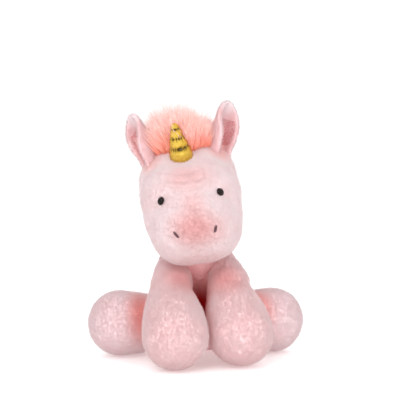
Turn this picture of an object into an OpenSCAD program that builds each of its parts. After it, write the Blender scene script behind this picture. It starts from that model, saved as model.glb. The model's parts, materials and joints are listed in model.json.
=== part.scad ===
// Seated plush unicorn: sewn covers over loose filling, with a floppy head, ears, legs and tail.
// The origin is the middle of the flat seat. The animal looks along -Y, +X is its left, +Z is up.

/* [Body] */
// Radius of the round belly
belly_r = 44; // [40:1:48]
// Height of the belly's centre above the seat
belly_z = 36; // [34:1:38]
// Radius of the chest dome that the head rests on
chest_r = 34; // [31:1:36]
// Height of the neck, about which the head turns and nods
neck_z = 80; // [78:1:82]
// Thickness of the plush covers
cover_t = 3; // [2:0.5:4]

/* [Head] */
// Radius of the skull
skull_r = 47; // [45:1:49]
// Height of the skull's centre above the seat
head_z = 144; // [143:1:148]
// Sideways lean of the head at rest
head_lean = 8.7; // [0:0.1:12]
// Turn of the head to one side at rest
head_yaw = 8; // [0:1:14]
// Radius of the muzzle's two lobes
muzzle_r = 33; // [31:1:35]
// How far the muzzle's centre is in front of the skull's
muzzle_reach = 40; // [37:1:43]

/* [Horn and ears] */
// Length of the horn
horn_len = 35; // [33:1:39]
// Radius of the horn's lowest tier
horn_r = 11; // [9:0.5:12]
// Length of an ear above its seam
ear_len = 43; // [38:1:48]
// Width of an ear
ear_w = 27; // [23:1:30]

/* [Legs and tail] */
// Radius of a front leg's upper ball
shoulder_r = 17; // [14:1:17]
// Radius of a front foot
front_foot_r = 30; // [27:0.5:30]
// Radius of a hind leg's inner ball
hip_r = 16; // [13:1:16]
// Radius of a hind foot
hind_foot_r = 31; // [28:1:32]
// Length of the tail tuft
tail_len = 30; // [26:1:31]

/* [Eyes] */
// Diameter of the safety eyes
eye_d = 8; // [6:0.5:10]

/* [Hidden] */
$fn = 64;

gap = 0.4;                      // between a cover and what fills it
play = 0.6;                     // between two pieces that move past each other
far = 400;                      // larger than the whole animal
hair = 0.9995;                  // of a ball's radius, where a cone's edge ends inside it
left = 1;                       // the animal's own left is +X
right = -1;

belly = [0, 0, belly_z];
neck = [0, -13, neck_z];
neck_pad_t = 5;

head_at = [-5, -33, head_z];
skull_top = [17, -2, 24];       // middle of each upper lobe, in the head's own frame
skull_top_r = 30;
muzzle_at = [10, -muzzle_reach, -21];
bridge_at = [0, -20, -6];
bridge_r = 43;

shoulder = [27, -57, 66];         // middle of a front leg's upper ball, which rests on the chest
hip = [56.5, -24, 34];            // middle of a hind leg's inner ball, which rests on the belly
hind_foot = [73.5, -29, 31];
tail_at = [0, 47, 34];

eye_at = [27, 9];               // across and up, in the head's own frame
nostril_at = [17.5, -22];
horn_lean = 25;
horn_side = -4;                  // the horn is sewn a little off the middle
ear_at = [33, 0, 51];

function length(v) = sqrt(v * v);
function pitch(v) = acos(v[2] / length(v));
function heading(v) = atan2(v[1], v[0]);
function side_of(point, side) = [side * point[0], point[1], point[2]];

// The left front foot is a little further back than the right one
function front_foot(side) = [side * (front_foot_r + play / 2), side == left ? -98 : -108, front_foot_r];
function ear_lean(side) = side == left ? 22 : 16;

// Turns a shape that is drawn along +Z so that it points along v
module point_along(v) {
    rotate([0, pitch(v), heading(v)]) children();
}

// Revolved outline of two round ends joined by a cone, starting at the origin along +Z. The cone's
// edge ends a hair inside each ball, so that the outlines cross cleanly.
module tapered_limb(r1, r2, reach) {
    slope = asin((r2 - r1) / reach);
    low = hair * r1;
    high = hair * r2;
    rotate_extrude() intersection() {
        translate([0, -far]) square([far, 2 * far]);
        union() {
            circle(r1);
            translate([0, reach]) circle(r2);
            polygon([[0, -low * sin(slope)], [low * cos(slope), -low * sin(slope)],
                [high * cos(slope), reach - high * sin(slope)], [0, reach - high * sin(slope)]]);
        }
    }
}

module limb(from, to, r1, r2) {
    translate(from) point_along(to - from) tapered_limb(r1, r2, length(to - from));
}

module above_floor(height) {
    translate([-far, -far, height]) cube(2 * far);
}

// ---- torso ----

module torso_shape(inset) {
    intersection() {
        translate(belly) point_along(neck - belly) rotate(180)
            tapered_limb(belly_r - inset, chest_r - inset, length(neck - belly));
        above_floor(inset);
    }
}

module body_cover() {
    color([0.92, 0.76, 0.77]) difference() {
        torso_shape(0);
        torso_shape(cover_t);
        tail_room();
    }
}

module body_stuffing() {
    color([0.97, 0.96, 0.94]) difference() {
        torso_shape(cover_t + gap);
        tab_room();
        translate(pouch_at - [0, 0, 2]) cylinder(r = pouch_r + gap, h = pouch_h + gap + 2);
    }
}

pouch_at = [0, 5, cover_t + gap];
pouch_r = 18;
pouch_h = 10;
pouch_t = 1;

module seat_pouch() {
    color([0.85, 0.83, 0.78]) translate(pouch_at) difference() {
        cylinder(r = pouch_r, h = pouch_h);
        translate([0, 0, pouch_t]) cylinder(r = pouch_r - pouch_t, h = pouch_h - 2 * pouch_t);
    }
}

module seat_pellets() {
    color([0.9, 0.9, 0.88]) translate(pouch_at + [0, 0, pouch_t + gap])
        cylinder(r = pouch_r - pouch_t - gap, h = pouch_h - 2 * (pouch_t + gap));
}

// The closing seam's thread runs up the middle of the back, above the tail
thread_r = 0.6;
back_lean = pitch(neck - belly) + asin((belly_r - chest_r) / length(neck - belly));

// A point on the back's middle line, from 0 at the belly to 1 at the neck
function back_point(along) = belly + along * (neck - belly)
    + (belly_r + along * (chest_r - belly_r) + thread_r + 0.3) * [0, cos(back_lean), sin(back_lean)];

module back_seam_thread() {
    color([0.85, 0.6, 0.62]) limb(back_point(0), back_point(0.75), thread_r, thread_r + 0.01);
}

tail_r = 6;
tail_tip_r = 12;
tail_tip = tail_at + tail_len * [0, 0.76, -0.65];
tab_t = 2;

module tab_room() {
    translate(tail_at + [0, -10, 0]) cube([2 * tail_r, 26, tab_t + 2 * gap], center = true);
}

module tail_room() {
    translate(tail_at) sphere(tail_r + play);
    tab_room();
}

module tail_tab() {
    color([0.9, 0.7, 0.7]) intersection() {
        translate(tail_at + [0, -10, 0]) cube([2 * tail_r - 2 * gap, 24, tab_t], center = true);
        difference() {
            translate(belly) sphere(belly_r);
            translate(tail_at) sphere(tail_r + play);
        }
    }
}

module tail_tuft() {
    color([0.98, 0.75, 0.68]) limb(tail_at, tail_tip, tail_r, tail_tip_r);
}

// A pad of filling shaped like a cap between the chest dome and the head's hollow
module neck_stuffing() {
    color([0.97, 0.96, 0.94]) translate(neck) rotate([18, 0, 0]) rotate_extrude()
        intersection() {
            difference() {
                circle(chest_r + play + neck_pad_t);
                circle(chest_r + play);
            }
            polygon([[0, 0], [far * sin(38), far * cos(38)], [0, far]]);
        }
}

// ---- head, in its own frame with the skull's centre at the origin ----

module head_frame() {
    translate(head_at) rotate([0, -head_lean, -head_yaw]) children();
}

module skull_shape(inset) {
    translate([0, 0, 4]) sphere(skull_r - inset);
    for (side = [left, right]) {
        translate(side_of(skull_top, side)) sphere(skull_top_r - inset);
        translate(side_of(muzzle_at, side)) sphere(muzzle_r - inset);
    }
    translate(bridge_at) sphere(bridge_r - inset);
}

module neck_hollow(extra) {
    translate(neck) sphere(chest_r + neck_pad_t + 2 * play + extra);
}

// The eyes sit on the bridge's sphere
module on_eye(side) {
    across = eye_at[0];
    up = eye_at[1] - bridge_at[2];
    out = [side * across, -sqrt(bridge_r * bridge_r - across * across - up * up), up];
    translate(bridge_at + out) point_along(out) children();
}

module ear_frame(side) {
    translate(side_of(ear_at, side)) rotate([0, side * ear_lean(side), 0]) children();
}

ear_root_r = 4.5;
ear_root_l = 19;

module ear_root(extra) {
    rotate([0, 90, 0]) cylinder(r = ear_root_r + extra, h = ear_root_l + 2 * extra, center = true);
}

stem_r = 1.3;
stem_l = 9;
washer_r = 5;
washer_t = 1.5;

module head_cover() {
    color([0.95, 0.82, 0.83]) difference() {
        head_frame() difference() {
            skull_shape(0);
            skull_shape(cover_t);
            for (side = [left, right]) {
                ear_frame(side) ear_root(play);
                on_eye(side) cylinder(r = stem_r + gap / 2, h = 4 * cover_t, center = true);
            }
        }
        neck_hollow(0);
    }
}

module head_stuffing() {
    color([0.97, 0.96, 0.94]) difference() {
        head_frame() difference() {
            skull_shape(cover_t + gap);
            for (side = [left, right]) {
                ear_frame(side) ear_root(play + gap);
                on_eye(side) translate([0, 0, -stem_l - 2]) cylinder(r = washer_r + gap, h = stem_l + 4);
            }
        }
        neck_hollow(gap);
    }
}

module eye(side) {
    color([0.03, 0.02, 0.02]) head_frame() on_eye(side) rotate_extrude() intersection() {
        translate([0, -far]) square([far, 2 * far]);
        union() {
            translate([0, -stem_l]) square([stem_r, stem_l + 1]);
            intersection() {
                translate([0, 0.8]) circle(d = eye_d);
                translate([0, 0.3]) square(far);
            }
        }
    }
}

module eye_washer(side) {
    color([0.9, 0.9, 0.88]) head_frame() on_eye(side)
        translate([0, 0, -cover_t - 2 * gap - washer_t]) difference() {
            cylinder(r = washer_r, h = washer_t);
            translate([0, 0, -1]) cylinder(r = stem_r + 0.1, h = washer_t + 2);
        }
}

stitch_r = 0.9;
stitch_l = 7;

module nostril_stitch(side) {
    across = nostril_at[0] - muzzle_at[0];
    up = nostril_at[1] - muzzle_at[2];
    out = [across, -sqrt(muzzle_r * muzzle_r - across * across - up * up), up];
    color([0.5, 0.33, 0.36]) head_frame()
        translate(side_of(muzzle_at + out * (1 + (stitch_r + 0.3) / muzzle_r), side))
            rotate([0, side == left ? 15 : -35, 0]) rotate([atan2(up, -out[1]), 0, side * 20])
                tapered_limb(stitch_r, stitch_r + 0.01, stitch_l - 2 * stitch_r);
}

// Three gathered tiers and a rounded tip: [height, radius] of each, up the horn's own axis
tiers = [[5, horn_r], [0.43 * horn_len, 0.8 * horn_r], [0.7 * horn_len, 0.58 * horn_r],
    [horn_len - 0.33 * horn_r, 0.33 * horn_r]];
foil_t = 1;

module horn_frame() {
    head_frame() translate([0, 0, 4]) rotate([horn_lean, horn_side, 0])
        translate([0, 0, skull_r - 1]) children();
}

module horn_shape(inset) {
    for (tier = tiers) translate([0, 0, tier[0]]) sphere(tier[1] - inset);
}

module horn_cover() {
    color([0.92, 0.76, 0.31]) difference() {
        horn_frame() difference() {
            horn_shape(0);
            horn_shape(foil_t);
        }
        head_frame() skull_shape(-0.3);
    }
}

module horn_stuffing() {
    color([0.97, 0.96, 0.94]) difference() {
        horn_frame() horn_shape(foil_t + 0.3);
        head_frame() skull_shape(-0.3);
    }
}

// Where two neighbouring tiers meet: [height, radius] of the crease
function crease(low, high) =
    let (rise = high[0] - low[0],
        up = (rise * rise + low[1] * low[1] - high[1] * high[1]) / (2 * rise))
    [low[0] + up, sqrt(low[1] * low[1] - up * up)];

winding_r = 0.6;
module horn_winding() {
    color([0.75, 0.58, 0.2]) horn_frame() for (i = [0, 1]) {
        at = crease(tiers[i], tiers[i + 1]);
        translate([0, 0, at[0]]) rotate_extrude() translate([at[1] + 1.4, 0]) circle(winding_r);
    }
}

module forelock() {
    color([0.99, 0.76, 0.69]) difference() {
        head_frame() {
            translate([0, 14, 70]) sphere(24);
            for (side = [left, right]) translate([side * 12, 12, 60]) sphere(12);
        }
        head_frame() skull_shape(-0.3);
        horn_frame() for (tier = tiers) translate([0, 0, tier[0]]) sphere(tier[1] + winding_r + 1.5);
    }
}

// The mane runs from the forelock down the back of the head
mane_r = 9;
module mane() {
    color([0.99, 0.76, 0.69]) difference() {
        head_frame() translate([0, 0, 4]) rotate([90, 0, 90]) rotate([0, 0, -28])
            rotate_extrude(angle = 78) translate([skull_r + 2, 0]) circle(mane_r);
        head_frame() {
            skull_shape(-0.3);
            translate([0, 14, 70]) sphere(24.5);
            for (side = [left, right]) translate([side * 12, 12, 60]) sphere(12.5);
        }
        neck_hollow(1);
    }
}

ear_t = 5;
lining_t = 2;

// One of the two arcs' discs whose overlap is the ear's pointed leaf
module ear_disc(width, tall, side) {
    half = 0.68 * tall;
    bow = (half * half + width * width / 4) / width;
    translate([side * (width / 2 - bow), tall - half]) circle(bow, $fn = 128);
}

module ear_plate(width, tall, front, thick) {
    translate([0, front + thick, 0]) rotate([90, 0, 0]) linear_extrude(thick) intersection() {
        ear_disc(width, tall, left);
        ear_disc(width, tall, right);
        translate([-far, 0]) square([2 * far, far]);
    }
}

module ear_back(side) {
    color([0.97, 0.86, 0.86]) head_frame() ear_frame(side) {
        ear_root(0);
        ear_plate(ear_w, ear_len, -ear_t / 2 + lining_t / 2, ear_t);
    }
}

module ear_lining(side) {
    color([0.95, 0.76, 0.78]) head_frame() ear_frame(side) difference() {
        ear_plate(ear_w - 4, ear_len - 4, -ear_t / 2 - lining_t / 2 - gap, lining_t);
        ear_root(gap);
    }
}

// ---- legs ----

module limb_cover(from, to, r1, r2) {
    difference() {
        limb(from, to, r1, r2);
        limb(from, to, r1 - cover_t, r2 - cover_t);
    }
}

module limb_stuffing(from, to, r1, r2) {
    limb(from, to, r1 - cover_t - gap, r2 - cover_t - gap);
}

module front_leg_cover(side) {
    color([0.93, 0.79, 0.8])
        limb_cover(side_of(shoulder, side), front_foot(side), shoulder_r, front_foot_r);
}

module front_leg_stuffing(side) {
    color([0.97, 0.96, 0.94])
        limb_stuffing(side_of(shoulder, side), front_foot(side), shoulder_r, front_foot_r);
}

module hind_leg_cover(side) {
    color([0.93, 0.81, 0.82])
        limb_cover(side_of(hip, side), side_of(hind_foot, side), hip_r, hind_foot_r);
}

module hind_leg_stuffing(side) {
    color([0.97, 0.96, 0.94])
        limb_stuffing(side_of(hip, side), side_of(hind_foot, side), hip_r, hind_foot_r);
}

body_cover();
body_stuffing();
seat_pouch();
seat_pellets();
back_seam_thread();
tail_tab();
tail_tuft();
neck_stuffing();
head_cover();
head_stuffing();
eye(left);  // left_eye
eye(right);  // right_eye
eye_washer(left);  // left_eye_washer
eye_washer(right);  // right_eye_washer
nostril_stitch(left);  // left_nostril_stitch
nostril_stitch(right);  // right_nostril_stitch
horn_cover();
horn_stuffing();
horn_winding();
forelock();
mane();
ear_back(left);  // left_ear_back
ear_lining(left);  // left_ear_lining
ear_back(right);  // right_ear_back
ear_lining(right);  // right_ear_lining
front_leg_cover(left);  // left_front_leg_cover
front_leg_stuffing(left);  // left_front_leg_stuffing
front_leg_cover(right);  // right_front_leg_cover
front_leg_stuffing(right);  // right_front_leg_stuffing
hind_leg_cover(left);  // left_hind_leg_cover
hind_leg_stuffing(left);  // left_hind_leg_stuffing
hind_leg_cover(right);  // right_hind_leg_cover
hind_leg_stuffing(right);  // right_hind_leg_stuffing
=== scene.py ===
import json
import math
import bpy
import numpy as np
from mathutils import Matrix, Vector, noise


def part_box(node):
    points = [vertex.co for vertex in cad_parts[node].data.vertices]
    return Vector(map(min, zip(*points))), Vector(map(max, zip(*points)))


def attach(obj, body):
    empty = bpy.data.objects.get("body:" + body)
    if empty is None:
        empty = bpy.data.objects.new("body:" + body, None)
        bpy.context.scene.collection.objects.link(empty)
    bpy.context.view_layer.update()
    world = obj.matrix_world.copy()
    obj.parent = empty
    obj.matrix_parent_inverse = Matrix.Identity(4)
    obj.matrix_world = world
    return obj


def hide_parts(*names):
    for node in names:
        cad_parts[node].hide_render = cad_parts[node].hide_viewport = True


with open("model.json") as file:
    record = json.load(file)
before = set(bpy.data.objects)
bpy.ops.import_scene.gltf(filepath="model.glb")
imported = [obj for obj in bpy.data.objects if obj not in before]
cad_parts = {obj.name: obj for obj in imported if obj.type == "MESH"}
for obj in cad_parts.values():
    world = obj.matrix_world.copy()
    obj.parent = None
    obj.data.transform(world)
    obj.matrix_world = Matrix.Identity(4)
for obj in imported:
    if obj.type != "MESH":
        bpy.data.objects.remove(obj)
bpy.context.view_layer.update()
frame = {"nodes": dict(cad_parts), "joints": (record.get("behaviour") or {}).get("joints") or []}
nodes = frame["nodes"]
scene = bpy.context.scene
mm = 0.001
sides = {"left": 1, "right": -1}
joints = {j["name"]: Vector(j["pos_m"]) for j in frame["joints"]}
noise.seed_set(7)  # without a seed, vector noise starts from the clock and no two runs agree
print("frame loaded")


# small helpers

def tone(r, g, b):  # a screen colour, 0 to 255, as a shader colour
    linear = [c / 255 / 12.92 if c < 11 else ((c / 255 + 0.055) / 1.055) ** 2.4 for c in (r, g, b)]
    return (*linear, 1.0)


def deselectAll():
    for o in bpy.context.selected_objects:
        o.select_set(False)


def activate(piece):
    deselectAll()
    piece.select_set(True)
    bpy.context.view_layer.objects.active = piece


def applyAll(piece):
    activate(piece)
    for m in list(piece.modifiers):
        bpy.ops.object.modifier_apply(modifier=m.name)


def settle(piece):  # puts the piece's place into its mesh
    activate(piece)
    bpy.ops.object.transform_apply(location=True, rotation=True, scale=True)


def points(piece):
    co = np.empty(len(piece.data.vertices) * 3)
    piece.data.vertices.foreach_get("co", co)
    return co.reshape(-1, 3)


def normals(piece):
    no = np.empty(len(piece.data.vertices) * 3)
    piece.data.vertices.foreach_get("normal", no)
    return no.reshape(-1, 3)


def triangles(piece):
    mesh = piece.data
    mesh.calc_loop_triangles()
    tri = np.empty(len(mesh.loop_triangles) * 3, np.int32)
    mesh.loop_triangles.foreach_get("vertices", tri)
    return tri.reshape(-1, 3)


def setPoints(piece, co):
    piece.data.vertices.foreach_set("co", co.ravel())
    piece.data.update()


def meshPiece(name, verts, faces):
    mesh = bpy.data.meshes.new(name)
    mesh.from_pydata(np.asarray(verts).tolist(), [], [list(f) for f in faces])
    mesh.update()
    piece = bpy.data.objects.new(name, mesh)
    scene.collection.objects.link(piece)
    return piece


def ball(center, radius):
    deselectAll()
    bpy.ops.mesh.primitive_ico_sphere_add(subdivisions=4, radius=radius, location=center)
    return bpy.context.object


def joinAs(name, parts):
    deselectAll()
    for p in parts:
        p.select_set(True)
    bpy.context.view_layer.objects.active = parts[0]
    bpy.ops.object.join()
    parts[0].name = name
    parts[0].data.name = name
    return parts[0]


def chain(start, end, r1, r2, count=9):  # round steps along a limb
    start, end = Vector(start), Vector(end)
    return [(start.lerp(end, i / (count - 1)), r1 + (r2 - r1) * i / (count - 1)) for i in range(count)]


def unit(v):
    return v / np.maximum(np.linalg.norm(v, axis=-1, keepdims=True), 1e-9)


def deepest(p, balls):  # how far each point is inside the nearest ball
    return np.max([r - np.linalg.norm(p - np.array(c), axis=1) for c, r in balls], axis=0)


def finishPiece(piece, body, material, replaced=()):
    piece.data.materials.clear()
    piece.data.materials.append(material)
    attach(piece, body)
    if replaced:
        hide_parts(*replaced)


# the head's own frame and the balls that each stuffed part is built on, as in the CAD

headCad = {"at": Vector((-5, -33, 144)) * mm, "lean": 8.7, "yaw": 8}
headFrame = (Matrix.Translation(headCad["at"])
             @ Matrix.Rotation(math.radians(-headCad["yaw"]), 4, "Z")
             @ Matrix.Rotation(math.radians(-headCad["lean"]), 4, "Y"))


def inHead(x, y, z):
    return headFrame @ (Vector((x, y, z)) * mm)


pileRoom = 1.3 * mm   # how far a skin lies inside the outline that its pile fills
fillingDepth = 2.3 * mm   # how far inside the outline a skin may go, as the filling starts at 3.4 mm
headCore = [(inHead(0, 0, 4), 47 * mm), (inHead(0, -20, -6), 43 * mm)]
for s in sides.values():
    headCore.append((inHead(s * 17, -2, 24), 30 * mm))
    headCore.append((inHead(s * 10, -40, -21), 33 * mm))
headBalls = list(headCore)
for s in sides.values():
    headBalls.append((inHead(s * 14, -20, 8), 34 * mm))
    headBalls.append((inHead(s * 12, -26, -10), 34.5 * mm))

neck = joints["head_turn"]
seatLow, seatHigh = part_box("body_cover")
bellyRadius = (seatHigh.x - seatLow.x) / 2
belly = Vector((0, 0, 36 * mm))
bodyCore = chain(belly, neck, bellyRadius, 34 * mm, 24)
bodyBalls = list(bodyCore[::2]) + [bodyCore[-1]]
for s in sides.values():
    bodyBalls += chain(Vector((s * 17, -31, 88)) * mm, Vector((s * 27, -44, 66)) * mm, 20 * mm, 20 * mm, 4)

legBalls, legCore = {}, {}
legSwell = [(0, 19.5), (0.25, 20.5), (0.5, 25), (0.75, 28.6), (1, 30)]
for side, s in sides.items():
    low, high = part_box(side + "_front_leg_cover")
    footRadius = 30 * mm
    foot = Vector((s * 30.3 * mm, low.y + footRadius, footRadius))
    shoulder = joints[side + "_front_leg_lift"]
    legCore[side + "_front_leg"] = chain(shoulder, foot, 17 * mm, footRadius, 24)
    leg = []
    for i in range(12):  # the upper legs sag to the animal's right
        t = i / 11
        sag = Vector((-3.4 * (1 - t) * min(1, 5 * t), 0, 4 * (1 - t))) * mm
        leg.append((shoulder.lerp(foot, t) + sag, np.interp(t, *zip(*legSwell)) * mm))
    legBalls[side + "_front_leg"] = leg + [(shoulder + Vector((-s * 2, 12, 11)) * mm, 19 * mm)]
    low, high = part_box(side + "_hind_leg_cover")
    hip = joints[side + "_hind_leg_splay"]
    hindRadius = (high.z - low.z) / 2
    hindFoot = Vector((s * (max(abs(low.x), abs(high.x)) - hindRadius), low.y + hindRadius, hindRadius))
    legCore[side + "_hind_leg"] = chain(hip, hindFoot, 16 * mm, hindRadius, 12)
    legBalls[side + "_hind_leg"] = chain(
        hip + Vector((-s * 10, 5, -5)) * mm, hindFoot, 27.5 * mm, hindRadius, 8)


# shader groups

def group(name, inputs, outputs):
    tree = bpy.data.node_groups.new(name, "ShaderNodeTree")
    kinds = {"c": "NodeSocketColor", "f": "NodeSocketFloat", "v": "NodeSocketVector"}
    for label, kind in inputs:
        tree.interface.new_socket(label, in_out="INPUT", socket_type=kinds[kind])
    for label, kind in outputs:
        tree.interface.new_socket(label, in_out="OUTPUT", socket_type=kinds[kind])
    return tree, tree.nodes.new("NodeGroupInput"), tree.nodes.new("NodeGroupOutput")


def noiseNode(tree, vector, scale, detail=3.0, roughness=0.55):
    n = tree.nodes.new("ShaderNodeTexNoise")
    n.inputs["Scale"].default_value = scale
    n.inputs["Detail"].default_value = detail
    n.inputs["Roughness"].default_value = roughness
    tree.links.new(vector, n.inputs["Vector"])
    return n


def mathNode(tree, operation, a, b=None, c=None, clamp=False):
    n = tree.nodes.new("ShaderNodeMath")
    n.operation = operation
    n.use_clamp = clamp
    for i, value in enumerate([a, b, c]):
        if value is None:
            continue
        if isinstance(value, (int, float)):
            n.inputs[i].default_value = value
        else:
            tree.links.new(value, n.inputs[i])
    return n.outputs[0]


def mixNode(tree, factor, a, b, blend="MIX"):
    n = tree.nodes.new("ShaderNodeMix")
    n.data_type = "RGBA"
    n.blend_type = blend
    targets = {"f": n.inputs[0], "a": n.inputs[6], "b": n.inputs[7]}
    for key, value in (("f", factor), ("a", a), ("b", b)):
        if isinstance(value, (int, float, tuple)):
            targets[key].default_value = value
        else:
            tree.links.new(value, targets[key])
    return n.outputs[2]


def makeNap():  # cloudy tone and fine grain of brushed cloth
    tree, gin, gout = group("brushedNap", [("Pale", "c"), ("Deep", "c"), ("Cloud", "f"), ("Grain", "f")],
                            [("Color", "c"), ("Height", "f")])
    coord = tree.nodes.new("ShaderNodeTexCoord").outputs["Object"]
    cloud = noiseNode(tree, coord, 55, 4)
    tree.links.new(gin.outputs["Cloud"], cloud.inputs["Scale"])
    grain = noiseNode(tree, coord, 900, 2)
    tree.links.new(gin.outputs["Grain"], grain.inputs["Scale"])
    patch = mathNode(tree, "MULTIPLY_ADD", cloud.outputs["Fac"], 2.6, -0.9, clamp=True)
    base = mixNode(tree, patch, gin.outputs["Pale"], gin.outputs["Deep"])
    fine = mathNode(tree, "MULTIPLY_ADD", grain.outputs["Fac"], 0.35, 0.82)
    shade = tree.nodes.new("ShaderNodeCombineColor")
    for i in range(3):
        tree.links.new(fine, shade.inputs[i])
    tree.links.new(mixNode(tree, 0.55, base, shade.outputs[0], "MULTIPLY"), gout.inputs["Color"])
    tree.links.new(grain.outputs["Fac"], gout.inputs["Height"])
    return tree


def makeSpot():  # a soft round mask about a point
    tree, gin, gout = group("softSpot", [("Center", "v"), ("Radius", "v")], [("Mask", "f")])
    coord = tree.nodes.new("ShaderNodeTexCoord").outputs["Object"]
    offset = tree.nodes.new("ShaderNodeVectorMath")
    offset.operation = "SUBTRACT"
    tree.links.new(coord, offset.inputs[0])
    tree.links.new(gin.outputs["Center"], offset.inputs[1])
    share = tree.nodes.new("ShaderNodeVectorMath")
    share.operation = "DIVIDE"
    tree.links.new(offset.outputs[0], share.inputs[0])
    tree.links.new(gin.outputs["Radius"], share.inputs[1])
    far = tree.nodes.new("ShaderNodeVectorMath")
    far.operation = "LENGTH"
    tree.links.new(share.outputs[0], far.inputs[0])
    ramp = tree.nodes.new("ShaderNodeMapRange")
    ramp.interpolation_type = "SMOOTHSTEP"
    ramp.inputs["From Min"].default_value = 1.0
    ramp.inputs["From Max"].default_value = 0.15
    tree.links.new(far.outputs["Value"], ramp.inputs["Value"])
    tree.links.new(ramp.outputs["Result"], gout.inputs["Mask"])
    return tree


def makeWeave():  # fine woven threads, used on the inner cloths and the foil
    tree, gin, gout = group("fineWeave", [("Color", "c"), ("Shade", "c"), ("Scale", "f")],
                            [("Color", "c"), ("Height", "f")])
    coord = tree.nodes.new("ShaderNodeTexCoord").outputs["Object"]
    waves = []
    for direction in ("X", "Z"):
        w = tree.nodes.new("ShaderNodeTexWave")
        w.bands_direction = direction
        w.inputs["Distortion"].default_value = 1.5
        tree.links.new(coord, w.inputs["Vector"])
        tree.links.new(gin.outputs["Scale"], w.inputs["Scale"])
        waves.append(w.outputs["Fac"])
    height = mathNode(tree, "MULTIPLY", waves[0], waves[1])
    tree.links.new(height, gout.inputs["Height"])
    tree.links.new(mixNode(tree, height, gin.outputs["Shade"], gin.outputs["Color"]), gout.inputs["Color"])
    return tree


nap, spot, weave = makeNap(), makeSpot(), makeWeave()


def place(tree, groupTree, **values):
    n = tree.nodes.new("ShaderNodeGroup")
    n.node_tree = groupTree
    for label, value in values.items():
        n.inputs[label].default_value = value
    return n


def newMaterial(name, roughness=0.9, sheen=0.0, **more):
    material = bpy.data.materials.new(name)
    material.use_nodes = True
    tree = material.node_tree
    shader = tree.nodes["Principled BSDF"]
    shader.inputs["Roughness"].default_value = roughness
    shader.inputs["Sheen Weight"].default_value = sheen
    for label, value in more.items():
        shader.inputs[label.replace("_", " ")].default_value = value
    return material, tree, shader


def bump(tree, shader, height, strength, distance):
    n = tree.nodes.new("ShaderNodeBump")
    n.inputs["Strength"].default_value = strength
    n.inputs["Distance"].default_value = distance
    tree.links.new(height, n.inputs["Height"])
    tree.links.new(n.outputs["Normal"], shader.inputs["Normal"])


fibreGlow = {"short": 0.17, "long": 0.16}


def glow(tree, shader, color, strength):  # painted glow: emission that stands in for the light the fibres pass on inside the pile, lifting its shade
    warm = mixNode(tree, 1.0, color, (1.0, 0.62, 0.6, 1.0), "MULTIPLY")
    tree.links.new(warm, shader.inputs["Emission Color"])
    shader.inputs["Emission Strength"].default_value = strength


def plushMaterial(name, pale, deep, spots=(), fuzzy=False, rootShade=0.88, sheen=0.12):
    material, tree, shader = newMaterial(name, roughness=0.95, sheen=sheen, Sheen_Roughness=0.5,
                                         Sheen_Tint=(1.0, 0.93, 0.93, 1.0), Specular_IOR_Level=0.0)
    cloth = place(tree, nap, Pale=tone(*pale), Deep=tone(*deep), Cloud=48.0, Grain=700.0)
    color = cloth.outputs["Color"]
    for center, radius, shade, strength in spots:
        mark = place(tree, spot, Center=tuple(center), Radius=tuple(r * mm for r in radius))
        share = mathNode(tree, "MULTIPLY", mark.outputs["Mask"], strength)
        color = mixNode(tree, share, color, tone(*shade))
    if fuzzy:  # painted shade: hairs are darker where they root
        along = tree.nodes.new("ShaderNodeAttribute")
        along.attribute_name = "along"
        root = mixNode(tree, 1.0, color, (rootShade, rootShade * 0.94, rootShade * 0.94, 1.0), "MULTIPLY")
        color = mixNode(tree, along.outputs["Fac"], root, color)
    else:  # painted shade: the cloth under the hairs is as dark as their roots
        color = mixNode(tree, 1.0, color, (0.96, 0.92, 0.92, 1.0), "MULTIPLY")
    tree.links.new(color, shader.inputs["Base Color"])
    glow(tree, shader, color, fibreGlow["short"])
    bump(tree, shader, cloth.outputs["Height"], 0.25, 0.0006)
    return material


# tones of the plush

# darker, rosier tones on the nose bridge, forehead, chin and muzzle front, and painted shade at the ear
# roots where the ears join the head
faceTonesAndShade = [
    (inHead(1, -58, 0), (18, 24, 20), (252, 208, 206), 0.5),
    (inHead(0, -46, 26), (30, 26, 22), (251, 205, 204), 0.6),
    (inHead(0, -52, -50), (44, 40, 20), (250, 214, 212), 0.4),
    (inHead(0, -70, -19), (34, 33, 25), (238, 190, 189), 0.9),
    (inHead(33, -8, 45), (18, 24, 16), (253, 182, 172), 0.6),
    (inHead(-33, -8, 45), (18, 24, 16), (253, 182, 172), 0.6)]
headTones = {"pale": (253, 243, 245), "deep": (251, 233, 235), "spots": faceTonesAndShade}
# painted shade: rosier under the chin at the top of the chest, and a deep red painted shadow in the gap
# between the front legs
paintedGapShade = [(Vector((0, -46, 78)) * mm, (40, 34, 26), (252, 188, 184), 0.7),
            (Vector((0, -50, 48)) * mm, (38, 46, 40), (140, 4, 6), 1.0)]
bodyTones = {"pale": (251, 226, 229), "deep": (248, 215, 217), "spots": paintedGapShade}
legTones = {}
for side, s in sides.items():
    shoulder = joints[side + "_front_leg_lift"]
    legTones[side + "_front_leg"] = {
        "pale": (252, 230, 232), "deep": (250, 221, 223),
        # painted shade: rosier at the front of the shoulder under the head, and deep red on the inner side
        # facing the gap between the legs
        "spots": [(shoulder + Vector((-s * 6, -14, 6)) * mm, (26, 40, 26), (250, 182, 180), 0.7),
                  (Vector((0, -60, 46)) * mm, (15, 36, 38), (196, 44, 42), 0.95)]}
    hip = joints[side + "_hind_leg_splay"]
    legTones[side + "_hind_leg"] = {
        "pale": (252, 238, 241), "deep": (250, 229, 232),
        "spots": [(hip + Vector((-s * 2, -22, 6)) * mm, (22, 36, 36), (255, 176, 168), 0.85)]}


# stuffed skins

stuffing = {"voxel": 3.6 * mm, "smooth": 13, "pressure": 3.0, "frames": 12, "cap": 1.4 * mm}


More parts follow.
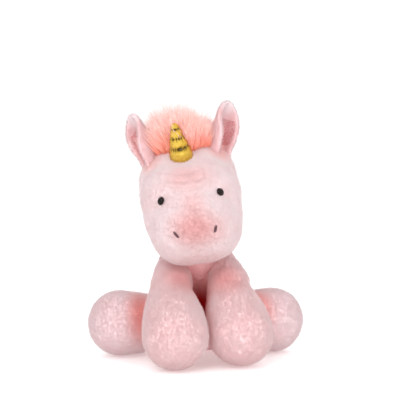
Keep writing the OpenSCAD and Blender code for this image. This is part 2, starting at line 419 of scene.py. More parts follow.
def buildSkin(name, balls, smooth):
    skin = joinAs(name, [ball(c, r - pileRoom) for c, r in balls])
    settle(skin)
    remesh = skin.modifiers.new("even", "REMESH")
    remesh.mode = "VOXEL"
    remesh.voxel_size = stuffing["voxel"]
    relax = skin.modifiers.new("relax", "SMOOTH")
    relax.factor = 0.5
    relax.iterations = smooth
    applyAll(skin)
    return skin


def puff(skin):  # the filling presses the sewn skin out
    before = points(skin)
    cloth = skin.modifiers.new("puff", "CLOTH")
    cloth.settings.quality = 4
    cloth.settings.mass = 0.3
    cloth.settings.tension_stiffness = 25
    cloth.settings.compression_stiffness = 25
    cloth.settings.bending_stiffness = 2.0
    cloth.settings.use_pressure = True
    cloth.settings.uniform_pressure_force = stuffing["pressure"]
    cloth.settings.effector_weights.gravity = 0
    cloth.point_cache.frame_start = 1
    cloth.point_cache.frame_end = stuffing["frames"]
    for f in range(1, stuffing["frames"] + 1):
        scene.frame_set(f)
    activate(skin)
    bpy.ops.object.modifier_apply(modifier="puff")
    scene.frame_set(1)
    move = points(skin) - before
    far = np.linalg.norm(move, axis=1, keepdims=True)
    setPoints(skin, before + move * np.minimum(1.0, stuffing["cap"] / np.maximum(far, 1e-9)))


def pucker(skin, creases, lump, seed):  # lumps of filling, then seams and folds pressed in
    co, no = points(skin), normals(skin)
    shift = Vector((seed * 3.1, seed * 1.7, seed * 2.3))
    wave = np.array([noise.noise(Vector(p) * 34 + shift) + 0.5 * noise.noise(Vector(p) * 80 + shift)
                     for p in co])
    co = co + no * (wave * lump)[:, None]
    for path, width, depth in creases:
        path = [np.array(p) for p in path]
        near = np.full(len(co), 1e9)
        for a, b in zip(path, path[1:]):
            t = np.clip(((co - a) @ (b - a)) / max((b - a) @ (b - a), 1e-12), 0, 1)
            near = np.minimum(near, np.linalg.norm(co - a - t[:, None] * (b - a), axis=1))
        co = co - no * (np.exp(-(near / width) ** 2) * depth)[:, None]
    setPoints(skin, co)


def coverFilling(skin, balls):  # no seam or fold is drawn in so far that the filling shows
    co = points(skin)
    for c, r in balls:
        away = co - np.array(c)
        far = np.linalg.norm(away, axis=1, keepdims=True)
        co = np.where(far < r - fillingDepth, np.array(c) + away * (r - fillingDepth) / far, co)
    co[:, 2] = np.maximum(co[:, 2], 0.4 * mm)
    setPoints(skin, co)


def onSkin(skin, start, direction):  # where a line from a point first meets the skin
    hit, spotAt, normal, _ = skin.ray_cast(Vector(start), Vector(direction).normalized())
    return (spotAt, normal) if hit else (Vector(start), Vector(direction).normalized())


def growPile(name, skin, look, seed, keep):
    tri = triangles(skin)
    co, no = points(skin), normals(skin)
    a, b, c = co[tri[:, 0]], co[tri[:, 1]], co[tri[:, 2]]
    mid = (a + b + c) / 3
    area = np.linalg.norm(np.cross(b - a, c - a), axis=1) / 2 * keep(mid)
    rng = np.random.default_rng(seed)
    count = int(min(look["most"], area.sum() / mm ** 2 * look["perMm2"]))
    pick = rng.choice(len(tri), count, p=area / area.sum())
    r1, r2 = np.sqrt(rng.random(count))[:, None], rng.random(count)[:, None]
    w = np.hstack([1 - r1, r1 * (1 - r2), r1 * r2])
    root = (co[tri[pick]] * w[:, :, None]).sum(1)
    up = unit((no[tri[pick]] * w[:, :, None]).sum(1))
    comb = unit(look["comb"](root))
    comb = comb - up * (comb * up).sum(1, keepdims=True)
    swirl = np.array([noise.noise_vector(Vector(p) * look["swirl"]) for p in root])
    lay = up + comb * look["lean"] + (swirl - up * (swirl * up).sum(1, keepdims=True)) * look["ruffle"]
    lay = unit(lay + rng.normal(0, look["stray"], (count, 3)))
    length = look["length"] * rng.uniform(0.65, 1.2, (count, 1)) * (1 + 0.12 * swirl[:, :1])
    across = unit(np.cross(up, rng.normal(0, 1, (count, 3))))
    other = np.cross(up, across)
    base = root - up * 0.3 * mm
    ring = [base + (across * math.cos(t) + other * math.sin(t)) * look["thick"] for t in (0, 2.094, 4.189)]
    tip = root + lay * length
    tip[:, 2] = np.maximum(tip[:, 2], 0.3 * mm)
    verts = np.stack(ring + [tip], axis=1).reshape(-1, 3)
    first = np.arange(count)[:, None] * 4
    corners = ([0, 1, 3], [1, 2, 3], [2, 0, 3], [0, 2, 1])
    faces = np.stack([first + f for f in corners], axis=1).reshape(-1, 3)
    pile = meshPiece(name, verts, faces)
    along = pile.data.attributes.new("along", "FLOAT", "POINT")
    along.data.foreach_set("value", np.tile([0.0, 0.0, 0.0, 1.0], count))
    pile.data.shade_smooth()
    soft = unit(up * 0.75 + lay * 0.25)
    pile.data.normals_split_custom_set_from_vertices(np.repeat(soft, 4, axis=0).tolist())
    return pile


shortPile = {"length": 2.6 * mm, "thick": 0.3 * mm, "perMm2": 2.35, "most": 44000, "lean": 0.45,
             "ruffle": 0.06, "swirl": 90, "stray": 0.3, "comb": None}


def combDown(p):
    return np.tile([0.0, -0.25, -1.0], (len(p), 1))


def combHead(p):  # away from the nose, up and back over the head
    return p - np.array(inHead(0, -75, -12))


def finishSkin(skin, creases, lump, seed, core):
    puff(skin)
    fine = skin.modifiers.new("fine", "SUBSURF")
    fine.levels = fine.render_levels = 1
    applyAll(skin)
    pucker(skin, creases, lump, seed)
    coverFilling(skin, core)
    skin.data.shade_smooth()


# torso

body = buildSkin("bodySkin", bodyBalls, stuffing["smooth"])
finishSkin(body, [([Vector((0, 44, 48)) * mm, Vector((0, 40, 70)) * mm, Vector((0, 31, 92)) * mm,
                    Vector((0, 20, 106)) * mm], 1.6 * mm, 1.3 * mm),
                  ([(0.0, -0.049, 0.03), (0.0, -0.052, 0.07), (0.0, -0.046, 0.10)], 1.6 * mm, 1.0 * mm)],
           0.9 * mm, 1, bodyCore)
finishPiece(body, "torso", plushMaterial("bodyPlush", **bodyTones), ["body_cover"])
allLegs = sum(legBalls.values(), [])


def keepBody(p):
    hidden = (deepest(p, headBalls) > 5 * mm) | (deepest(p, allLegs) > 7 * mm) | (p[:, 2] < 0.8 * mm)
    return np.where(hidden, 0.0, 1.0)


bodyPile = growPile("bodyPile", body, {**shortPile, "comb": combDown}, 11, keepBody)
finishPiece(bodyPile, "torso", plushMaterial("bodyPileTone", fuzzy=True, **bodyTones))
print("torso built")

# neck: a soft gusset that the head turns with and nods over

neckBalls = (chain(neck + Vector((0, -1, 3)) * mm, inHead(0, -2, -12), 32 * mm, 33 * mm, 6)
             + chain(neck + Vector((0, -18, 6)) * mm, inHead(0, -26, -22), 23 * mm, 25 * mm, 4))
gusset = buildSkin("neckGusset", neckBalls, stuffing["smooth"])
finishSkin(gusset, [], 0.5 * mm, 2, [])
neckTones = bodyTones
neckCloth = {"pale": (248, 208, 211), "deep": (242, 196, 199)}
finishPiece(gusset, "neck", plushMaterial("neckPlush", **neckCloth), ["neck_stuffing"])
neckPile = growPile("neckPile", gusset, {**shortPile, "comb": combDown, "most": 20000}, 12,
                    lambda p: np.where(deepest(p, headBalls) > 18 * mm, 0.0, 1.0))
finishPiece(neckPile, "neck", plushMaterial("neckPileTone", fuzzy=True, **neckTones))
print("neck built")

# legs

for number, (leg, balls) in enumerate(legBalls.items()):
    s = sides[leg.split("_")[0]]
    front = "front" in leg
    skin = buildSkin(leg + "_skin", balls, 6)
    foot = balls[11][0] if front else balls[-1][0]
    top = balls[0][0]
    if front:
        seam = [onSkin(skin, top.lerp(foot, t) + Vector((s * (2 - 5 * t), 0, 0)) * mm, (0, -1, 0.45))[0]
                for t in (0.15, 0.4, 0.65, 0.9, 1.05)]
        fold = [onSkin(skin, foot + Vector((x, 0, z)) * mm, (0, -1, 0))[0]
                for x, z in ((-9, 2), (2, -1), (9, -7))]
        armpit = [onSkin(skin, top.lerp(foot, 0.3) + Vector((s * x, -4, z)) * mm, (s * 0.5, -1, 0.3))[0]
                  for x, z in ((2, 6), (12, 3))]
        creases = [(seam, 1.5 * mm, 0.5 * mm), (fold, 2.0 * mm, 0.4 * mm), (armpit, 3.0 * mm, 0.6 * mm)]
    else:
        seam = [onSkin(skin, top.lerp(foot, t), (0, -0.15, 1))[0] for t in (0.3, 0.7, 1.0)]
        rim = [onSkin(skin, top.lerp(foot, t), (s * 0.1, -1, 0.25))[0] for t in (0.2, 0.5, 0.8, 1.0)]
        creases = [(seam, 1.6 * mm, 0.5 * mm), (rim, 1.6 * mm, 0.4 * mm)]
    finishSkin(skin, creases, 0.6 * mm, 5 + number, legCore[leg])
    tones = legTones[leg]
    finishPiece(skin, leg, plushMaterial(leg + "_plush", **tones), [leg + "_cover"])

    def keepLeg(p):
        hidden = (deepest(p, bodyBalls) > 7 * mm) | (p[:, 2] < 0.8 * mm)
        return np.where(hidden, 0.0, 1.0)

    pile = growPile(leg + "_pile", skin, {**shortPile, "comb": combDown}, 21 + number, keepLeg)
    finishPiece(pile, leg, plushMaterial(leg + "_pileTone", fuzzy=True, **tones))
print("legs built")

# head

head = buildSkin("headSkin", headBalls, stuffing["smooth"])


def onFace(x, z):  # the face's surface in front of a place in the head's frame
    return onSkin(head, inHead(x, 0, z), headFrame.to_3x3() @ Vector((0, -1, 0)))


headCreases = []
for path, width, depth in [
        ([(-17, 25), (-6, 22.5), (6, 22), (16, 24)], 1.6, 1.0),
        ([(-14, 16), (-3, 14.5), (9, 15.5)], 1.4, 0.8),
        ([(-9, 9.5), (2, 8.5), (10, 9.5)], 1.3, 0.55),
        ([(14, 30), (20, 23), (25, 18)], 1.2, 0.7),
        ([(-20, 33), (-9, 30.5), (4, 30), (15, 33)], 2.0, 0.9)]:
    headCreases.append(([onFace(x, z)[0] for x, z in path], width * mm, depth * mm))
eyeSpots = {side: inHead(s * 27, -49.9, 9) for side, s in sides.items()}
for side, s in sides.items():  # the eyes and nostrils are pulled in a little
    headCreases.append(([eyeSpots[side], eyeSpots[side] + Vector((0, 0, 1e-4))], 5.5 * mm, 1.3 * mm))
    middle = onFace(s * 17.5, -22)[0]
    headCreases.append(([middle - Vector((0, 0, 2.5)) * mm, middle + Vector((0, 0, 2.5)) * mm],
                        2.6 * mm, 1.6 * mm))
finishSkin(head, headCreases, 0.8 * mm, 3, headCore)
finishPiece(head, "head", plushMaterial("headPlush", **headTones), ["head_cover"])

hornFrame = (headFrame @ Matrix.Translation((0, 0, 4 * mm)) @ Matrix.Rotation(math.radians(-4), 4, "Y")
             @ Matrix.Rotation(math.radians(25), 4, "X") @ Matrix.Translation((0, 0, 46 * mm)))


def inFrame(matrix, p):
    m = np.array(matrix.inverted())
    return p @ m[:3, :3].T + m[:3, 3]


def keepHead(p):
    bald = deepest(p, bodyBalls) > 6 * mm
    for side in sides:
        bald |= np.linalg.norm(p - np.array(eyeSpots[side]), axis=1) < 4.3 * mm
    q = inFrame(hornFrame, p)
    bald |= (np.hypot(q[:, 0], q[:, 1]) < 9 * mm) & (q[:, 2] > -12 * mm)
    return np.where(bald, 0.0, 1.0)


headPileMaterial = plushMaterial("headPileTone", fuzzy=True, **headTones)
for name, seed, front in (("headPileFront", 31, True), ("headPileBack", 32, False)):
    def keepPart(p, front=front):
        q = inFrame(headFrame, p)
        facing = (q[:, 1] < -22 * mm) == front
        return keepHead(p) * facing

    pile = growPile(name, head, {**shortPile, "comb": combHead, "perMm2": 2.6}, seed, keepPart)
    finishPiece(pile, "head", headPileMaterial)
print("head built")

# eyes, nostrils and the back's stitches

eyeLook = {"radius": 4.1 * mm}


def eyeMaterial():
    material, tree, shader = newMaterial("eyeGloss", roughness=0.1, Specular_IOR_Level=0.2)
    cloth = place(tree, nap, Pale=(0.012, 0.006, 0.005, 1), Deep=(0.004, 0.002, 0.002, 1),
                  Cloud=200.0, Grain=3000.0)
    tree.links.new(cloth.outputs["Color"], shader.inputs["Base Color"])
    rough = mathNode(tree, "MULTIPLY_ADD", cloth.outputs["Height"], 0.06, 0.05)
    tree.links.new(rough, shader.inputs["Roughness"])
    return material


eyeGloss = eyeMaterial()
for side, s in sides.items():
    away = (eyeSpots[side] - inHead(0, -20, -6)).normalized()
    facing = away.to_track_quat("Z", "Y").to_matrix().to_4x4()
    turn = Matrix.Translation(eyeSpots[side] - away * 0.6 * mm) @ facing
    deselectAll()
    bpy.ops.mesh.primitive_uv_sphere_add(segments=48, ring_count=24, radius=eyeLook["radius"])
    eye = bpy.context.object
    eye.name = side + "EyeDome"
    co = points(eye)
    r = eyeLook["radius"]
    flat = co[:, 2] < 0.8 * mm   # a domed button on a thin rim, with its shank below
    co[~flat, 2] = 0.8 * mm + (co[~flat, 2] - 0.8 * mm) * 0.86
    below = np.clip((0.8 * mm - co[:, 2]) / (r + 0.8 * mm), 0, 1)
    co[flat, :2] *= (1 - 0.68 * np.minimum(1, below[flat] * 6))[:, None]
    co[flat, 2] = 0.8 * mm - below[flat] * 9 * mm
    setPoints(eye, co)
    eye.data.transform(turn)
    eye.data.shade_smooth()
    finishPiece(eye, "head", eyeGloss, [side + "_eye"])


def tube(path, radius, name, around=8):  # a closed round thread along points
    path = [Vector(p) for p in path]
    verts, faces = [], []
    for i, p in enumerate(path):
        ahead = (path[min(i + 1, len(path) - 1)] - path[max(i - 1, 0)]).normalized()
        q = ahead.to_track_quat("Z", "Y")
        thin = 0.35 if i in (0, len(path) - 1) else 1.0
        for k in range(around):
            t = k / around * 2 * math.pi
            verts.append(p + q @ Vector((math.cos(t), math.sin(t), 0)) * radius * thin)
    for i in range(len(path) - 1):
        for k in range(around):
            a, b = i * around + k, i * around + (k + 1) % around
            faces.append((a, b, b + around, a + around))
    faces.append(tuple(reversed(range(around))))
    faces.append(tuple(range((len(path) - 1) * around, len(path) * around)))
    piece = meshPiece(name, [tuple(v) for v in verts], faces)
    piece.data.shade_smooth()
    return piece


def threadMaterial(name, light, dark, scale=2200.0, **more):
    material, tree, shader = newMaterial(name, roughness=0.55, sheen=0.3, **more)
    thread = place(tree, weave, Color=tone(*light), Shade=tone(*dark), Scale=scale)
    tree.links.new(thread.outputs["Color"], shader.inputs["Base Color"])
    bump(tree, shader, thread.outputs["Height"], 0.6, 0.0002)
    return material


nostrilThread = threadMaterial("nostrilThread", (138, 84, 98), (74, 38, 48))
for side, s in sides.items():
    slant = {"left": 0.9, "right": -1.7}[side]
    strands = []
    for k in range(5):
        off = (k - 2) * 0.45
        ends = []
        for t in np.linspace(-1, 1, 9):
            spotAt, normal = onFace(s * 17.5 + slant * t + off * (1 - 0.5 * t * t), -22 + 3.1 * t)
            ends.append(spotAt + normal * (0.2 + 1.3 * (1 - t * t) ** 0.5) * mm)
        strands.append(tube(ends, 0.42 * mm, "strand"))
    finishPiece(joinAs(side + "NostrilThread", strands), "head", nostrilThread,
                [side + "_nostril_stitch"])

stitches = []
for k in range(11):
    z = 50 + k * 4.6
    spotAt, normal = onSkin(body, (0, 0, z * mm), (0, 1, 0.1))
    side = Vector((1.7, 0, 0)) * mm
    lift = Vector((0, 0, 1.5)) * mm
    raised = spotAt + normal * 1.1 * mm
    ends = [spotAt - side - lift, raised - lift * 0.4, raised + lift * 0.4, spotAt + side + lift]
    stitches.append(tube(ends, 0.38 * mm, "stitch", 6))
finishPiece(joinAs("backStitches", stitches), "torso",
            threadMaterial("seamThread", (232, 178, 182), (196, 130, 138)), ["back_seam_thread"])
print("eyes and stitches built")

# horn: gathered gold foil in three tiers

hornLook = {"profile": [(-5, 10.2), (-1, 10.9), (3, 11.1), (7, 10.6), (10.2, 9.3), (11.6, 7.9), (12.6, 8.5),
                        (15, 8.7), (18, 8.1), (20.4, 6.8), (21.6, 5.5), (22.6, 6.2), (25, 6.2), (27.6, 5.2),
                        (29.4, 4.3), (30.2, 3.4), (31.2, 3.9), (33, 3.4), (34.6, 1.9), (35.2, 0.5)],
            "creases": [(11.6, 1.9, 1.0), (21.6, 1.7, 0.85), (30.2, 1.3, 0.6)], "around": 120, "rows": 110}


def foilMaterial():
    material, tree, shader = newMaterial("goldFoil", roughness=0.3, Metallic=1.0)
    cloth = place(tree, weave, Color=tone(250, 224, 126), Shade=tone(214, 174, 66), Scale=1500.0)
    coord = tree.nodes.new("ShaderNodeTexCoord").outputs["Object"]
    crinkle = noiseNode(tree, coord, 300, 4, 0.6)
    # painted shade: darker gold where the crinkle noise is low, standing in for the crinkles' dark
    # reflections
    dark = mathNode(tree, "MULTIPLY_ADD", crinkle.outputs["Fac"], -2.2, 1.25, clamp=True)
    dark = mathNode(tree, "MULTIPLY", dark, 0.85)
    foilWithPaintedShade = mixNode(tree, dark, cloth.outputs["Color"], tone(176, 138, 30))
    # painted shade: darker still in the pleats of each gathered tier
    gathered = tree.nodes.new("ShaderNodeAttribute")
    gathered.attribute_name = "gathered"
    gold = mixNode(tree, gathered.outputs["Fac"], foilWithPaintedShade, tone(92, 70, 8))
    tree.links.new(gold, shader.inputs["Base Color"])
    rough = mathNode(tree, "MULTIPLY_ADD", crinkle.outputs["Fac"], 0.35, 0.14)
    tree.links.new(rough, shader.inputs["Roughness"])
    threads = mathNode(tree, "MULTIPLY", cloth.outputs["Height"], 0.12)
    height = mathNode(tree, "ADD", crinkle.outputs["Fac"], threads)
    bump(tree, shader, height, 0.5, 0.0012)
    return material


def buildHorn():
    heights = np.array([p[0] for p in hornLook["profile"]])
    radii = np.array([p[1] for p in hornLook["profile"]])
    around, rows = hornLook["around"], hornLook["rows"]
    verts, faces, shades = [], [], []
    zs = np.linspace(heights[0], heights[-1], rows)
    for z in zs:
        r0 = np.interp(z, heights, radii)
        for k in range(around):
            t = k / around * 2 * math.pi
            r, shade = r0, 0.0
            for c, (at, reach, deep) in enumerate(hornLook["creases"]):
                far = (z - at) / reach
                uneven = noise.noise(Vector((math.cos(t) * 2, math.sin(t) * 2, c * 5.0)))
                pleat = math.sin(t * (17 - 2 * c) + 1.7 * uneven * 3)
                size = 0.75 + 0.6 * noise.noise(Vector((math.cos(t) * 1.5, math.sin(t) * 1.5, 3 + c * 4.0)))
                r += deep * size * pleat * math.exp(-far * far) * min(1, r0 / 5)
                # painted shade in the pleats, kept on the vertices for the foil's colour
                shade = max(shade, math.exp(-far * far) * (0.62 - 0.6 * pleat))
            r += 0.28 * noise.noise(Vector((math.cos(t) * 3, math.sin(t) * 3, z * 0.28)))
            wave = 0.5 * noise.noise(Vector((math.cos(t) * 1.3, math.sin(t) * 1.3, z * 0.1 + 9)))
            verts.append((r * math.cos(t) * mm, r * math.sin(t) * mm, (z + wave) * mm))
            shades.append(min(1.0, shade))
    for i in range(rows - 1):
        for k in range(around):
            a, b = i * around + k, i * around + (k + 1) % around
            faces.append((a, b, b + around, a + around))
    faces.append(tuple(reversed(range(around))))
    faces.append(tuple(range((rows - 1) * around, rows * around)))
    horn = meshPiece("hornFoil", verts, faces)
    gathered = horn.data.attributes.new("gathered", "FLOAT", "POINT")
    gathered.data.foreach_set("value", shades)
    horn.data.transform(hornFrame)
    horn.data.shade_smooth()
    return horn


goldFoil = foilMaterial()
finishPiece(buildHorn(), "head", goldFoil, ["horn_cover"])
windings = []
for at, radius in ((11.6, 8.1), (21.6, 5.7), (30.2, 3.5)):
    ring = []
    for k in range(49):
        t = k / 48 * 2 * math.pi * 0.999
        r = radius + 0.25 * math.sin(t * 9 + at)
        z = at + 0.3 * math.sin(t * 2)
        ring.append(hornFrame @ (Vector((r * math.cos(t), r * math.sin(t), z)) * mm))
    windings.append(tube(ring, 0.42 * mm, "winding"))
finishPiece(joinAs("hornWinding", windings), "head",
            threadMaterial("goldThread", (190, 150, 60), (96, 78, 22), Metallic=0.8), ["horn_winding"])
print("horn built")

# ears: a leaf folded into a scoop that opens outwards

earLook = {"tall": 43 * mm, "sunk": 10 * mm, "wall": 3.6 * mm, "half": 23 * mm,
           "leaf": [(0, 0.88), (0.15, 1.0), (0.35, 1.0), (0.5, 0.9), (0.68, 0.69), (0.82, 0.47),
                    (0.93, 0.27), (1, 0.1)],
           "curl": [(0, 12), (0.3, 12.5), (0.6, 13), (0.85, 13), (1, 13)]}
earAt = {"left": {"lean": 22, "opening": 60}, "right": {"lean": 16, "opening": 78}}


def earSheet(name, frameMatrix, opening, s, shrink, inset, wall, ruffle):
    rows, cols = 26, 25
    verts, faces = [], []
    for i in range(rows):
        v = i / (rows - 1)
        tall = -earLook["sunk"] + (earLook["tall"] - inset + earLook["sunk"]) * v
        if shrink < 1:
            tall = 2 * mm + (earLook["tall"] - inset - 2 * mm) * v
        level = max(0, tall / earLook["tall"])
        twist = s * opening * (1 - 0.4 * level)
        leaf = np.interp(level, *zip(*earLook["leaf"]))
        half = max(earLook["half"] * leaf * shrink - inset * 0.5, 0.6 * mm)
        curl = np.interp(level, *zip(*earLook["curl"])) * mm - (wall if shrink < 1 else 0)
        reach = half / curl
        for k in range(cols):
            u = (k / (cols - 1) * 2 - 1) * half
            t = u / curl
            x, y = curl * math.sin(t), curl * (math.cos(t) - math.sin(reach) / reach)
            y += ruffle * noise.noise(Vector((u * 90, tall * 60, s * 4.0)))
            verts.append(tuple(frameMatrix @ Matrix.Rotation(twist, 4, "Z") @ Vector((x, y, tall))))
    for i in range(rows - 1):
        for k in range(cols - 1):
            a = i * cols + k
            faces.append((a, a + 1, a + cols + 1, a + cols))
    sheet = meshPiece(name, verts, faces)
    activate(sheet)
    thick = sheet.modifiers.new("wall", "SOLIDIFY")
    thick.thickness = wall
    thick.offset = 0.0
    rounded = sheet.modifiers.new("rounded", "SUBSURF")
    rounded.levels = rounded.render_levels = 1
    applyAll(sheet)
    bpy.ops.object.mode_set(mode="EDIT")
    bpy.ops.mesh.select_all(action="SELECT")
    bpy.ops.mesh.normals_make_consistent(inside=False)
    bpy.ops.object.mode_set(mode="OBJECT")
    sheet.data.shade_smooth()
    return sheet


for side, s in sides.items():
    spec = earAt[side]
    earFrame = headFrame @ Matrix.Translation(Vector((s * 33, 0, 51)) * mm) @ Matrix.Rotation(
        math.radians(s * spec["lean"]), 4, "Y")
    opening = math.radians(spec["opening"])
    tip = earFrame @ Vector((0, 0, 41 * mm))
    middle = earFrame @ Vector((0, 0, 22 * mm))
    root = earFrame @ Vector((0, 0, 4 * mm))
    # painted shade at the root, where the ear meets the head; the ear is also paler towards its tip
    earTones = {"pale": (250, 222, 224), "deep": (243, 208, 211),
                "spots": [(tip, (17, 17, 15), (253, 243, 246), 0.95),
                          (root, (16, 16, 14), (246, 180, 172), 0.75)]}
    liningTones = {"pale": (226, 158, 162), "deep": (208, 134, 138),
                   "spots": [(tip, (17, 17, 16), (244, 208, 212), 0.8),
                             (root, (14, 14, 12), (190, 108, 110), 0.8)]}
    back = earSheet(side + "EarBack", earFrame, opening, s, 1.0, 0.0, earLook["wall"], 1.2 * mm)
    finishPiece(back, side + "_ear", plushMaterial(side + "EarPlush", **earTones),
                [side + "_ear_back"])
    lining = earSheet(side + "EarLining", earFrame, opening, s, 0.8, 1.5 * mm, 1.2 * mm, 1.2 * mm)
    finishPiece(lining, side + "_ear", plushMaterial(side + "EarLiningTone", **liningTones),
                [side + "_ear_lining"])
    earComb = np.array((earFrame.to_3x3() @ Vector((0, 0, 1))))

    def combEar(p, way=earComb):
        return np.tile(way, (len(p), 1))

    for piece, tones, label, perMm2, hairLength in ((back, earTones, "EarPile", 2.6, 2.2 * mm),
                                                    (lining, liningTones, "EarLiningPile", 2.2, 1.2 * mm)):
        look = {**shortPile, "comb": combEar, "perMm2": perMm2, "length": hairLength, "thick": 0.25 * mm}
        pile = growPile(side + label, piece, look, 41 + s, lambda p: np.ones(len(p)))
        finishPiece(pile, side + "_ear",
                    plushMaterial(side + label + "Tone", fuzzy=True, **tones))
print("ears built")

# long pile: forelock, mane and tail

longPile = {"thick": 0.55 * mm, "steps": 4}


def longMaterial(name, rootTone, tipTone):
    material, tree, shader = newMaterial(name, roughness=0.8, sheen=0.3, Sheen_Tint=(1.0, 0.9, 0.88, 1.0),
                                         Specular_IOR_Level=0.15)
    rootCloth = place(tree, nap, Pale=tone(*rootTone[0]), Deep=tone(*rootTone[1]), Cloud=70.0, Grain=900.0)
    tipCloth = place(tree, nap, Pale=tone(*tipTone[0]), Deep=tone(*tipTone[1]), Cloud=70.0, Grain=900.0)
    along = tree.nodes.new("ShaderNodeAttribute")
    along.attribute_name = "along"
    color = mixNode(tree, along.outputs["Fac"], rootCloth.outputs["Color"], tipCloth.outputs["Color"])
    tree.links.new(color, shader.inputs["Base Color"])
    glow(tree, shader, color, fibreGlow["long"])
    bump(tree, shader, rootCloth.outputs["Height"], 0.2, 0.0004)
    return material


coral = longMaterial("coralPile", ((255, 178, 150), (255, 152, 122)), ((255, 234, 230), (255, 214, 206)))


def growLong(name, root, up, lengths, seed, clump, droop, fall):
    rng = np.random.default_rng(seed)
    count, steps = len(root), longPile["steps"]
    lead = rng.choice(count, max(8, count // clump), replace=False)
    nearest = np.empty(count, int)
    for i in range(0, count, 500):
        d = np.linalg.norm(root[i:i + 500, None] - root[None, lead], axis=2)
        nearest[i:i + 500] = lead[d.argmin(1)]
    aim = unit(up + rng.normal(0, 0.22, (count, 3)))
    aim[:] = unit(0.45 * aim + 0.55 * aim[nearest])
    curl = unit(rng.normal(0, 1, (count, 3)))
    curl = 0.4 * curl + 0.6 * curl[nearest]
    length = lengths * rng.uniform(0.7, 1.1, count)
    across = unit(np.cross(aim, rng.normal(0, 1, (count, 3))))
    other = np.cross(aim, across)
    rings, shades = [], []
    for k in range(steps + 1):
        t = k / steps
        middle = root + aim * (length * t)[:, None] + curl * (length * 0.22 * t * t)[:, None]
        middle = middle + np.array(fall) * (droop * length * t * t)[:, None]
        middle = middle + (root[nearest] - root) * 0.45 * t
        middle[:, 2] = np.maximum(middle[:, 2], 0.5 * mm)
        thin = longPile["thick"] * (1 - t) ** 0.7
        if k == steps:
            rings.append(middle[:, None])
        else:
            rings.append(np.stack([middle + (across * math.cos(a) + other * math.sin(a)) * thin
                                   for a in (0, 2.094, 4.189)], axis=1))
        shades += [t] * (1 if k == steps else 3)
    verts = np.concatenate(rings, axis=1)
    per = verts.shape[1]
    pattern = [(0, 2, 1)]
    for k in range(steps - 1):
        for e in range(3):
            a, b = k * 3 + e, k * 3 + (e + 1) % 3
            pattern += [(a, b, b + 3), (a, b + 3, a + 3)]
    last = (steps - 1) * 3
    pattern += [(last, last + 1, last + 3), (last + 1, last + 2, last + 3), (last + 2, last, last + 3)]
    first = np.arange(count)[:, None, None] * per
    faces = (first + np.array(pattern)[None]).reshape(-1, 3)
    piece = meshPiece(name, verts.reshape(-1, 3), faces)
    along = piece.data.attributes.new("along", "FLOAT", "POINT")
    along.data.foreach_set("value", np.tile(shades, count))
    piece.data.shade_smooth()
    return piece


def scatter(skin, count, keep, seed):
    tri = triangles(skin)
    co, no = points(skin), normals(skin)
    a, b, c = co[tri[:, 0]], co[tri[:, 1]], co[tri[:, 2]]
    area = np.linalg.norm(np.cross(b - a, c - a), axis=1) * keep((a + b + c) / 3)
    rng = np.random.default_rng(seed)
    pick = rng.choice(len(tri), count, p=area / area.sum())
    w = rng.dirichlet((1, 1, 1), count)
    return (co[tri[pick]] * w[:, :, None]).sum(1), unit((no[tri[pick]] * w[:, :, None]).sum(1))


turnHead = np.array(headFrame.to_3x3())


def keepForelock(p):
    q = inFrame(headFrame, p) / mm
    front = -17 + 0.35 * np.abs(q[:, 0])
    return ((q[:, 1] > front) & (q[:, 1] < 30) & (np.abs(q[:, 0]) < 25) & (q[:, 2] > 34)).astype(float)


root, up = scatter(head, 8800, keepForelock, 51)
q = inFrame(headFrame, root) / mm
out = unit(np.stack([q[:, 0] * 0.022, (q[:, 1] - 8) * 0.022, np.ones(len(q))], axis=1))
lengths = (55 - 1.05 * np.abs(q[:, 0] + 3) - 0.35 * np.abs(q[:, 1] - 8)) * mm
forelock = growLong("forelockPile", root, out @ turnHead.T, lengths, 52, 26, 0.1, (0, 0, -1))
finishPiece(forelock, "head", coral, ["forelock"])


def keepMane(p):
    q = inFrame(headFrame, p) / mm
    return ((q[:, 1] > 22) & (np.abs(q[:, 0]) < 9) & (q[:, 2] > -22)).astype(float)


root, up = scatter(head, 3600, keepMane, 53)
mane = growLong("manePile", root, unit(up + np.array([0, 0.1, -0.25])), np.full(len(root), 15 * mm),
                54, 18, 0.35, (0, 0, -1))
finishPiece(mane, "head", coral, ["mane"])

tailRoot = joints["tail_wag"]
tailWay = Vector((0, 0.76, -0.65)).normalized()
tailCore = buildSkin("tailCore", chain(tailRoot, tailRoot + tailWay * 26 * mm, 6 * mm, 9 * mm, 6), 3)
tailCore.data.shade_smooth()
finishPiece(tailCore, "tail", plushMaterial("tailCloth", (248, 178, 164), (240, 150, 134)))
root, up = scatter(tailCore, 3600, lambda p: np.ones(len(p)), 55)
tail = growLong("tailPile", root, unit(up * 0.6 + np.array(tailWay)), np.full(len(root), 15 * mm),
                56, 20, 0.3, (0, 0, -1))
finishPiece(tail, "tail", coral, ["tail_tuft"])
print("long pile built")

# inner parts keep their CAD shape


def innerMaterial(name, pale, deep, cloud, grain, roughness, woven=False):
    material, tree, shader = newMaterial(name, roughness=roughness)
    if woven:
        cloth = place(tree, weave, Color=tone(*pale), Shade=tone(*deep), Scale=grain)
    else:
        cloth = place(tree, nap, Pale=tone(*pale), Deep=tone(*deep), Cloud=cloud, Grain=grain)
    tree.links.new(cloth.outputs["Color"], shader.inputs["Base Color"])
    bump(tree, shader, cloth.outputs["Height"], 0.4, 0.0006)
    return material


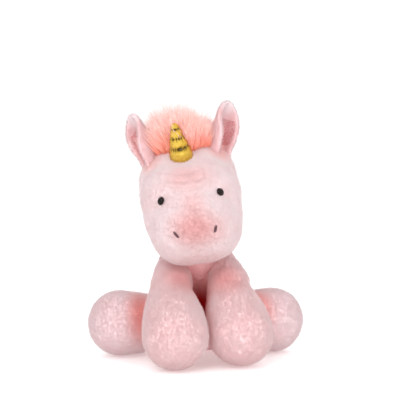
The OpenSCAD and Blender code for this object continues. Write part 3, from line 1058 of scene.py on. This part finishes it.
fibre = innerMaterial("loftFibre", (247, 244, 240), (232, 228, 222), 60.0, 500.0, 1.0)
moulded = innerMaterial("mouldedPlastic", (228, 228, 222), (212, 212, 206), 90.0, 1500.0, 0.45)
pouchCloth = innerMaterial("pouchWeave", (222, 216, 200), (186, 178, 160), 60.0, 1100.0, 0.9, True)
tabCloth = innerMaterial("tabWeave", (240, 184, 176), (214, 150, 144), 60.0, 1300.0, 0.9, True)
for name, node in nodes.items():
    if "stuffing" in name:
        material = fibre
    elif "washer" in name or "pellets" in name:
        material = moulded
    elif name == "seat_pouch":
        material = pouchCloth
    elif name == "tail_tab":
        material = tabCloth
    else:
        continue
    node.data.materials.clear()
    node.data.materials.append(material)

# floor, light and camera

stageLook = {"world": 1.12, "key": 2.8, "fill": 1.5, "back": 2.0}
bpy.ops.mesh.primitive_plane_add(size=8, location=(0, 0, -0.0006))
floor = bpy.context.object
floor.name = "floor"
floorPaint, _, floorShader = newMaterial("floorPaint", roughness=0.9)
floorShader.inputs["Base Color"].default_value = (0.95, 0.95, 0.95, 1)
floorShader.inputs["Emission Color"].default_value = (1, 1, 1, 1)
floorShader.inputs["Emission Strength"].default_value = 0.22
floor.data.materials.append(floorPaint)

world = bpy.data.worlds.new("softbox")
scene.world = world
world.use_nodes = True
world.node_tree.nodes["Background"].inputs["Color"].default_value = (1, 1, 1, 1)
world.node_tree.nodes["Background"].inputs["Strength"].default_value = stageLook["world"]


def addLight(name, at, aim, power, size):
    light = bpy.data.lights.new(name, "AREA")
    light.energy = power
    light.size = size
    lamp = bpy.data.objects.new(name, light)
    scene.collection.objects.link(lamp)
    lamp.location = at
    lamp.rotation_euler = (Vector(aim) - Vector(at)).to_track_quat("-Z", "Y").to_euler()


addLight("key", (-0.7, -1.1, 1.1), (0, -0.03, 0.12), stageLook["key"], 0.7)
addLight("fill", (1.1, -0.9, 0.6), (0, -0.03, 0.12), stageLook["fill"], 0.9)
addLight("spark", (-0.3, -1.0, 0.75), (0, -0.05, 0.14), 0.9, 0.1)
addLight("back", (0.2, 1.1, 0.9), (0, 0, 0.12), stageLook["back"], 0.8)

view = {"azimuth": -8, "elevation": 10, "distance": 1.1, "lens": 99, "right": 0.0076, "up": 0.1476}
around, above = math.radians(view["azimuth"]), math.radians(view["elevation"])
awayDir = Vector((math.sin(around) * math.cos(above), -math.cos(around) * math.cos(above), math.sin(above)))
rightDir = Vector((math.cos(around), math.sin(around), 0))
upDir = rightDir.cross(-awayDir)
camera = bpy.data.objects.new("camera", bpy.data.cameras.new("camera"))
scene.collection.objects.link(camera)
camera.data.lens = view["lens"]
camera.data.sensor_width = 36
camera.location = awayDir * view["distance"]
aim = rightDir * view["right"] + upDir * view["up"]
camera.rotation_euler = (aim - camera.location).to_track_quat("-Z", "Y").to_euler()
scene.camera = camera
scene.view_settings.view_transform = "Standard"
print("stage set")
